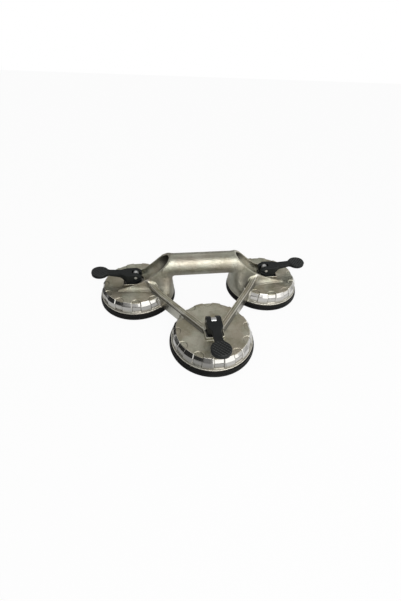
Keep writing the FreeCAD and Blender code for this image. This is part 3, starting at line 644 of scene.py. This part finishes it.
def saddle_field(u, v, z):
    """Distances to the right saddle.  The section at u is a half circle over flanks that flare out to the
    foot as arcs.  It is met with the skirt's cylinder and joined by a fillet to the tube, whose stub dips
    under the grip; then the trough, and what lies above the two rims, are taken away."""
    half, foot = GRIP_RADIUS - 0.1, FLANGE_TOP
    flare = through(u, [40, 66, 80, 100, 128, 136], [27, 26, 18.7, 8.4, 2.4, 1.4])
    drop = GRIP_HEIGHT - foot
    bow = (drop * drop + flare * flare) / (2 * flare)
    down = np.clip(GRIP_HEIGHT - z, 0, drop + 2)
    width = half + bow - np.sqrt(np.maximum(bow * bow - down * down, 0))
    flank = np.where(z < GRIP_HEIGHT, np.abs(v) - width, np.hypot(v, z - GRIP_HEIGHT) - half)
    boot = smooth_most(flank, np.hypot(u - SPREAD, v) - SKIRT_RADIUS, SKIRT_ROUND)
    tuck = np.clip((TUBE_HALF - u) / 6, 0, 1)
    tube = np.hypot(v, z - GRIP_HEIGHT) - GRIP_RADIUS - 0.03 + 0.35 * tuck * tuck * (3 - 2 * tuck)
    body = smooth_least(boot, np.maximum(tube, u - 62), TUBE_FILLET)
    rim = through(u, [45, 50, 60, 70, 80, 90, 100, 110, 120, 130],
                  [79.5, 74.6, 65.2, 56.2, 48.3, 42.0, 37.2, 33.4, 29.8, 26.4])
    # The rear rim stands a little higher than the front one.
    rim = rim + np.clip(v / 17, -0.4, 1) * through(u, [45, 55, 65, 75, 90], [0, 1.6, 2.8, 2.0, 0])
    above = np.maximum(RIM_SLANT * (z - rim), z - SADDLE_TOP)
    body = smooth_most(body, above, RIM_ROUND)
    body = smooth_most(body, u - SADDLE_END, RIM_ROUND)
    return np.maximum(smooth_most(body, -trough_distance(u, v, z), 1.0), foot - z)


SUNK = 0.05                                          # how far a fillet's edge runs under the next casting
CUP_FILLET, CUP_FILLET_REACH = 7, 4.5
CUP_OVERLAP, SADDLE_START = 1.2, 40.6                # how far the skin runs into the cup; its inner end


def saddle_skin_field(u, v, z):
    """The saddle with a fillet to its cup's face, open over the fence and where the cup fills it."""
    body = saddle_field(u, v, z)
    x = u - SPREAD
    cup = bell_distance(x, v, z, *recess_row("right"))
    joined = np.maximum(smooth_least(body, cup + SUNK, CUP_FILLET), body - CUP_FILLET_REACH)
    inside_cup = -np.maximum(cup, FLANGE_TOP - z)
    for limit in (-fence_room(x, v, 1), inside_cup - CUP_OVERLAP, SADDLE_START - u):
        joined = np.maximum(joined, limit)
    return joined


saddle_points, saddle_quads = skin(saddle_skin_field, ((39.3, 134.0), (-50.0, 50.5), (9.5, 77.0)), 0.85)

# Painted shade, and rough as cast: the trough's wall where it lies deepest, and the crook between the
# front flank and the arm, darker on the right saddle than on the left.
inner = np.abs(trough_distance(*saddle_points.T))
fade = np.interp(saddle_points[:, 0], [50, 54, 60, 80], [0, 1, 1, 0.05])
crook = np.linalg.norm(saddle_points - np.array([75, -26, 33]), axis=1)
trough_shade = np.clip(1.5 - inner / 0.5, 0, 1) * fade
left_saddle_shade = np.maximum(trough_shade, 0.75 * np.clip(1.5 - crook / 16, 0, 1))
right_saddle_shade = np.maximum(trough_shade, 0.95 * np.clip(1.5 - crook / 19, 0, 1))
saddle_points[:, 1] += REAR[1]

# The tube: an outline of place along the axis and radius, out over the grip and back through the bore.
TUBE_RINGS, TUBE_ROUND = 62, 180
TUBE_END = TUBE_HALF + 1
angle = np.linspace(0, 2 * math.pi, TUBE_ROUND, endpoint=False)
along = np.append(np.linspace(-TUBE_HALF, TUBE_HALF, TUBE_RINGS), [TUBE_END, TUBE_END, -TUBE_END, -TUBE_END])
bore = GRIP_RADIUS - GRIP_WALL
radius = np.append(np.full(TUBE_RINGS, GRIP_RADIUS), [GRIP_RADIUS - 0.5, bore, bore, GRIP_RADIUS - 0.5])
tube_points = np.stack([along[:, None] + 0 * angle, REAR[1] + radius[:, None] * np.cos(angle),
                        GRIP_HEIGHT + radius[:, None] * np.sin(angle)], -1)
mirror = saddle_points * np.array([-1, 1, 1])
points = np.concatenate([saddle_points, mirror, tube_points.reshape(-1, 3)])
left_quads = saddle_quads[:, ::-1] + len(saddle_points)
tube_quads = grid_quads(*tube_points.shape[:2]) + 2 * len(saddle_points)
quads = np.concatenate([saddle_quads, left_quads, outward(points, tube_quads)])
hand_wear = 0.12 * np.clip((60 - np.abs(points[:, 0])) / 12, 0, 1)
# The bore inside the tube's ends is darkened too: painted shade.
bore_shade = np.repeat(radius < GRIP_RADIUS - 1, TUBE_ROUND)
handle = metal_piece("handle_skin", points, quads, cast_metal, hand_wear,
                     np.concatenate([right_saddle_shade, left_saddle_shade, bore_shade]))
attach(handle, "frame")
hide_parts("handle_casting")


# ---------------------------------------------------------------------------------------------------
# Arms.  Two ribs, cast in one with the rest, from the saddles to the front cup's fence: a deep web under
# a wider bead, whose top carries two fine lines, with a groove along the outer face under the bead.
# ---------------------------------------------------------------------------------------------------
ARM_TOP, ARM_FOOT, ARM_WIDTH, ARM_WEB, ARM_BEAD = 32.0, 8.8, 7.5, 5.0, 2.4
ARM_RISE, ARM_RISE_LENGTH = 8.0, 28.0                # how far the rear end climbs to the saddle's rim
ARM_GROOVE, ARM_LINES, ARM_LINE_RADIUS = 1.4, (-1.9, 1.5), 0.55
ARM_FILLET, ARM_FILLET_REACH = 3.5, 4
ARM_OVERLAP, TROUGH_OVERLAP = 1.5, 0.3               # how far the skin runs on inside what the rib meets
SADDLE_REACH, FAR = 60, 9.0                          # the rib's length near the saddle; a distance past it
FRONT = cup_axis("front")
ARM_REAR = np.array([SPREAD - 21.7, REAR[1] - 18.0])
ARM_FRONT = np.array([12.6, FRONT[1] - 0.7])
ARM_LENGTH = np.linalg.norm(ARM_FRONT - ARM_REAR)
ARM_RUN = (ARM_FRONT - ARM_REAR) / ARM_LENGTH
ARM_OUT = np.array([-ARM_RUN[1], ARM_RUN[0]])


def bar(across, upward, width, low, high, edge):
    """Distances to a bar with round edges, by its half width and its lowest and highest sides."""
    beyond = np.abs(upward - (low + high) / 2) - (high - low) / 2 + edge
    return round_corner(np.abs(across) - width + edge, beyond, edge)


def rib_field(along, out, z):
    """Distances to the rib alone: web and bead, less the groove and two fine lines along the bead's top."""
    half = ARM_WIDTH / 2
    top = ARM_TOP + ARM_RISE * np.clip(1 - along / ARM_RISE_LENGTH, 0, 1) ** 1.6
    z = z - (top - ARM_TOP) * np.clip((z - FACE) / (ARM_TOP - FACE), 0, 1)
    under = ARM_TOP - ARM_BEAD
    web = bar(out - half + ARM_WEB / 2, z, ARM_WEB / 2, ARM_FOOT, ARM_TOP - 0.5, 0.8)
    rib = smooth_least(web, bar(out, z, half, under, ARM_TOP, 0.7), 0.8)
    rib = np.maximum(rib, -bar(out - half, z, 1.0, under - ARM_GROOVE, under, 0.2))
    for line in ARM_LINES:
        rib = np.maximum(rib, ARM_LINE_RADIUS - np.hypot(out - line, z - ARM_TOP))
    return rib


def arm_field(along, out, z):
    """The rib joined by fillets to the saddle, the front cup and its fence, and left out inside them."""
    x = ARM_REAR[0] + ARM_RUN[0] * along + ARM_OUT[0] * out
    y = ARM_REAR[1] + ARM_RUN[1] * along + ARM_OUT[1] * out
    rib = rib_field(along, out, z)
    rear = bell_distance(x - SPREAD, y - REAR[1], z, *recess_row("right"))
    front_x, front_y = FRONT[1] - y, x - FRONT[0]
    front = bell_distance(front_x, front_y, z, *recess_row("front"))
    fence_wall = np.maximum(fence_room(front_x, front_y, 0), z - FENCE_TOP)
    near = along < SADDLE_REACH
    saddle = np.where(near, saddle_field(x + 0 * z, y - REAR[1] + 0 * z, z + 0 * x), FAR)
    trough = np.where(near, trough_distance(x, y - REAR[1], z), FAR)
    rear_fence = np.where(near, fence_room(x - SPREAD, y - REAR[1], 1), FAR)
    others = np.minimum(np.minimum(np.minimum(rear, front), fence_wall), saddle)
    joined = np.maximum(smooth_least(rib, others + SUNK, ARM_FILLET), rib - ARM_FILLET_REACH)
    for limit in (-others - ARM_OVERLAP, TROUGH_OVERLAP - trough, -rear_fence):
        joined = np.maximum(joined, limit)
    return joined


rib_points, rib_quads = skin(arm_field, ((-9.0, ARM_LENGTH + 6), (-11.0, 11.3), (7.7, 45.0)), 0.55)
along, out, height = rib_points.T

# The upper part of the outer face, under the bead, is darkened as painted shade and rough as cast; that
# whole face is half polished.
under_bead = np.clip((ARM_TOP - ARM_BEAD + 0.4 - height) / 0.4, 0, 1)
under_bead_shade = np.where(out > 1.5, under_bead * np.clip((height - FACE + 0.6) / 0.4, 0, 1), 0)
rib_polish = 0.4 * np.clip(out - 1.5, 0, 1)
arm_points = np.stack([ARM_REAR[0] + ARM_RUN[0] * along + ARM_OUT[0] * out,
                       ARM_REAR[1] + ARM_RUN[1] * along + ARM_OUT[1] * out, height], -1)
for side, hand in (("left", -1), ("right", 1)):
    piece = metal_piece(side + "_arm_skin", arm_points * np.array([hand, 1, 1]), rib_quads[:, ::hand],
                        cast_metal, rib_polish, under_bead_shade)
    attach(piece, "frame")
    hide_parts(side + "_arm")


# ---------------------------------------------------------------------------------------------------
# Rubber pads.  A moulded black rubber disc under each cup, with a crease round its side and a flat
# sealing lip.  Its middle, as wide as the steel plate bonded to it, is a piece of its own here, because
# it goes with the pull rod, which draws it up into a shallow dish when the lever locks.
# ---------------------------------------------------------------------------------------------------
rubber, tree, shader = new_material("black_rubber", {"Roughness": 0.50, "Specular IOR Level": 0.12})
dusty = use_group(tree, cloud_tree, {"First": (0.0030, 0.0030, 0.0030, 1),
                                     "Second": (0.0075, 0.0072, 0.0068, 1), "Scale": 60.0, "Contrast": 3.0})
grain = use_group(tree, grain_tree, {"Scale": 900.0, "Height": 0.00008})
tree.links.new(dusty.outputs["Color"], shader.inputs["Base Color"])
tree.links.new(grain.outputs["Normal"], shader.inputs["Normal"])
PAD_RADIUS, PAD_TOP_RADIUS, PAD_LIP, PAD_DISH = 60.0, 58.6, 7.0, 3.5
PAD_MIDDLE, PAD_SPLIT = 40.5, 0.1                    # where the middle ends, and its gap to the rim


def turned(corners):
    """A closed profile of radius and height, turned about the axis."""
    profile = rounded(corners)
    turn = np.linspace(0, 2 * math.pi, 240, endpoint=False)
    radius, height = profile[:, :1], profile[:, 1:]
    return np.stack([radius * np.cos(turn), radius * np.sin(turn), height + 0 * turn], -1)


crease = SEAT / 2
pad_rim = turned([
    (PAD_MIDDLE, PAD_DISH, 0, 2), (PAD_MIDDLE + 2, PAD_DISH, 6, 2), (PAD_RADIUS - PAD_LIP, 0, 6, 2),
    (PAD_RADIUS, 0, 0.7, 0.9), (PAD_RADIUS, crease - 0.7, 0.5, 0.5),
    (PAD_TOP_RADIUS - 0.3, crease, 0.3, 0.5), (PAD_TOP_RADIUS + 0.7, crease + 0.7, 0.4, 0.8),
    (PAD_TOP_RADIUS, SEAT, 0.5, 5), (PAD_MIDDLE, SEAT, 0, 3)])
pad_middle = turned([(0.02, PAD_DISH, 0, 9), (PAD_MIDDLE - PAD_SPLIT, PAD_DISH, 0, 3),
                     (PAD_MIDDLE - PAD_SPLIT, SEAT, 0, 9), (0.02, SEAT, 0, 3)])
for side in SIDES:
    rim, middle = (metal_piece(side + name, turned_to(form, side).reshape(-1, 3),
                               grid_quads(*form.shape[:2]), rubber)
                   for name, form in (("_pad_skin", pad_rim), ("_pad_middle", pad_middle)))
    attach(rim, "frame")
    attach(middle, side + "_rod")
    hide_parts(side + "_rubber_pad")


# ---------------------------------------------------------------------------------------------------
# Steel parts.  The pull rod and its pin are turned from bright steel and the wear plate is pressed; the
# plate on the rubber is zinc plated, and the return spring is wound from wire.  The frame's own solids
# show them, in these finishes.
# ---------------------------------------------------------------------------------------------------
def steel(name, first, second, roughness, scale):
    """A bright metal: two near tones in faint clouds, with a fine grain."""
    material, tree, shader = new_material(name, {"Metallic": 1.0, "Roughness": roughness})
    clouds = use_group(tree, cloud_tree, {"First": first, "Second": second, "Scale": 90.0, "Contrast": 2.0})
    grain = use_group(tree, grain_tree, {"Scale": scale, "Height": 0.00004})
    tree.links.new(clouds.outputs["Color"], shader.inputs["Base Color"])
    tree.links.new(grain.outputs["Normal"], shader.inputs["Normal"])
    return material


bright_steel = steel("bright_steel", (0.56, 0.56, 0.55, 1), (0.46, 0.46, 0.45, 1), 0.42, 1200.0)
worn_steel = steel("worn_steel", (0.30, 0.29, 0.27, 1), (0.22, 0.21, 0.19, 1), 0.42, 700.0)
zinc_steel = steel("zinc_steel", (0.60, 0.61, 0.64, 1), (0.50, 0.51, 0.53, 1), 0.38, 500.0)
spring_steel = steel("spring_steel", (0.42, 0.43, 0.46, 1), (0.34, 0.34, 0.36, 1), 0.32, 900.0)
for side in SIDES:
    for part, finish in (("pull_rod", bright_steel), ("lever_pin", bright_steel), ("wear_plate", worn_steel),
                         ("pad_plate", zinc_steel), ("return_spring", spring_steel)):
        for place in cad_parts[side + "_" + part].material_slots:
            place.material = finish


# ---------------------------------------------------------------------------------------------------
# Levers.  Moulded in black plastic: a forked foot, pinned across the rod's tongue, with a cam under its
# back, a tapered neck, and a round thumb paddle with a ribbed grip.
# ---------------------------------------------------------------------------------------------------
PIN_HEIGHT, LIFT_ANGLE = 41.8, math.radians(95)
FORK_HALF, FORK_END, FORK_TOP, TONGUE_SLOT, SLOT_END = 10.2, 14.5, 5.4, 3.6, 5.6
NECK_START, NECK_HALF, NECK_THICK = 23.5, 6.0, 4.8
PADDLE_REACH, PADDLE_RADIUS, PADDLE_THICK, LEVER_SLOPE = 53.0, 13.0, 6.3, math.tan(math.radians(5.5))
LEVER_FOOT, FOOT_END = WEAR_TOP + 0.3, 15.0
EAR_BACK, EAR_CHAMFER = -8.9, -2.2                   # the ears' ends, and where their top starts to fall
RIB_PITCH, RIB_HEIGHT, GRIP_RIM = 4.8, 0.8, 1.1


def outline_distance(x, y, outline):
    """The distance from points to a closed outline, below zero inside: the nearest of its sides, with the
    sign from how often a line from the point crosses them."""
    best, inside = np.full(np.broadcast(x, y).shape, 1e9), np.zeros(np.broadcast(x, y).shape, bool)
    for (x1, y1), (x2, y2) in zip(outline, np.roll(outline, -1, 0)):
        dx, dy = x2 - x1, y2 - y1
        part = np.clip(((x - x1) * dx + (y - y1) * dy) / (dx * dx + dy * dy), 0, 1)
        best = np.minimum(best, np.hypot(x - x1 - part * dx, y - y1 - part * dy))
        spans = (y1 > y) != (y2 > y)
        inside ^= spans & (x < x1 + dx * (y - y1) / (dy if dy else 1))
    return np.where(inside, -best, best)


def cam(share):
    """The cam under the fork's back: the point at which the raised foot stands, a height below the pin
    that falls evenly with the lift."""
    lock = PIN_HEIGHT - LEVER_FOOT
    turn = LIFT_ANGLE * share
    height, slope = lock - PAD_DISH * share, PAD_DISH / LIFT_ANGLE
    return np.stack([slope * np.cos(turn) - height * np.sin(turn),
                     PIN_HEIGHT - height * np.cos(turn) - slope * np.sin(turn)], -1)


def lever_top(x):
    """The height of the lever's upper side: level over the fork, then rising outwards."""
    return PIN_HEIGHT + FORK_TOP + LEVER_SLOPE * max(x - FORK_END, 0)


def lever_field(x, y, z):
    """Distances to the lever: its side view met with its plan view, round at all edges, less the slot."""
    tip = PADDLE_REACH + PADDLE_RADIUS
    body = rounded([
        (FOOT_END, LEVER_FOOT, 0.8, 3), (FOOT_END + 1, LEVER_FOOT + 4.5, 2.5, 3),
        (NECK_START, lever_top(NECK_START) - NECK_THICK - 2.6, 7, 3),
        (PADDLE_REACH - 11, lever_top(PADDLE_REACH - 11) - NECK_THICK, 9, 3),
        (tip, lever_top(tip) - PADDLE_THICK, 1.6, 3), (tip, lever_top(tip), 1.6, 3),
        (FORK_END, lever_top(0), 4, 3), (EAR_CHAMFER, lever_top(0), 3.5, 3),
        (EAR_BACK + 0.05, PIN_HEIGHT + 0.6, 2.0, 3), (EAR_BACK, PIN_HEIGHT - 1.0, 0, 3)])
    side_view = np.concatenate([body, cam(np.linspace(1, 0, 14))])
    join = PADDLE_REACH - 12.0
    past_ears = EAR_BACK - 1.1
    plan_view = rounded([
        (past_ears, -FORK_HALF, 2.5, 3), (FORK_END, -FORK_HALF, 2.5, 3), (NECK_START - 1, -NECK_HALF, 5, 3),
        (join, -NECK_HALF + 0.4, 4, 3), (join + 8, -NECK_HALF, 0, 3), (join + 8, NECK_HALF, 0, 3),
        (join, NECK_HALF - 0.4, 4, 3), (NECK_START - 1, NECK_HALF, 5, 3), (FORK_END, FORK_HALF, 2.5, 3),
        (past_ears, FORK_HALF, 2.5, 3)])
    flat = outline_distance(x, y, plan_view)
    paddle = np.hypot(x - PADDLE_REACH, y) - PADDLE_RADIUS
    field = smooth_most(smooth_least(flat, paddle, 3), outline_distance(x, z, side_view), 1.5)
    slot = np.maximum(np.abs(y) - TONGUE_SLOT, x - SLOT_END)
    return np.maximum(field, -slot)


lever_points, lever_quads = skin(lever_field, ((-11.0, 68.0), (-14.6, 14.9), (28.0, 54.5)), 0.42)


def grip_face():
    """The paddle's ribbed grip: a round grid on its sloping top, raised by slanting ribs, the sine of
    x - y, with a weak second row across them, the sine of x + y.  They fade towards the rim, and a disc
    sunk in the paddle closes the grid underneath."""
    radius = PADDLE_RADIUS - GRIP_RIM
    ring = np.linspace(0.004, 1, 66)[:, None] * radius
    turn = np.linspace(0, 2 * math.pi, 216, endpoint=False)
    x, y = ring * np.cos(turn), ring * np.sin(turn)
    main, cross = (np.abs(np.sin(math.pi * way / RIB_PITCH)) for way in (x - y, x + y))
    ridges = 0.85 * main + 0.15 * cross
    fade = np.clip((radius - ring) / 0.8, 0, 1)
    lift = 0.03 + RIB_HEIGHT * fade * ridges
    top = np.stack([x + PADDLE_REACH, y, lever_top(PADDLE_REACH) + LEVER_SLOPE * x + lift], -1)
    under = top[[-1, 0]].copy()
    under[..., 2] = lever_top(PADDLE_REACH) + LEVER_SLOPE * (under[..., 0] - PADDLE_REACH) - 0.6
    return np.concatenate([top, under]), np.concatenate([ridges**8 * fade, 0 * ridges[:2]])


# The plastic is rubbed lighter along its edges; the tops of the ribs are lighter too, partly rubbed and
# partly a painted highlight that brings out the grip.
plastic, tree, shader = new_material("black_plastic", {"Roughness": 0.40, "Specular IOR Level": 0.20})
tint = use_group(tree, cloud_tree, {"First": (0.0052, 0.0064, 0.0062, 1),
                                    "Second": (0.0110, 0.0128, 0.0122, 1), "Scale": 70.0, "Contrast": 2.5})
edges = use_group(tree, convexity_tree, {"Start": 0.3, "Full": 1.4, "Breakup": 0.3})
wear_and_sheen = worked_out(tree, "MAXIMUM", edges.outputs["Mask"], measured(tree, "polished"))
wear_and_light = blended(tree, wear_and_sheen, tint.outputs["Color"], (0.072, 0.077, 0.074, 1))
grain = use_group(tree, grain_tree, {"Scale": 800.0, "Height": 0.00010})
tree.links.new(wear_and_light, shader.inputs["Base Color"])
tree.links.new(spread(tree, grain.outputs["Mask"], 0.34, 0.56), shader.inputs["Roughness"])
tree.links.new(grain.outputs["Normal"], shader.inputs["Normal"])

grip, rib_tops = grip_face()
points = np.concatenate([lever_points, grip.reshape(-1, 3)])
grip_quads = outward(points, grid_quads(*grip.shape[:2]) + len(lever_points))
quads = np.concatenate([lever_quads, grip_quads])
rib_tops = np.append(np.zeros(len(lever_points)), rib_tops)
for side in SIDES:
    piece = metal_piece(side + "_lever_skin", turned_to(points, side), quads, plastic,
                        rib_tops)
    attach(piece, side + "_lever")
    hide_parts(side + "_lever")
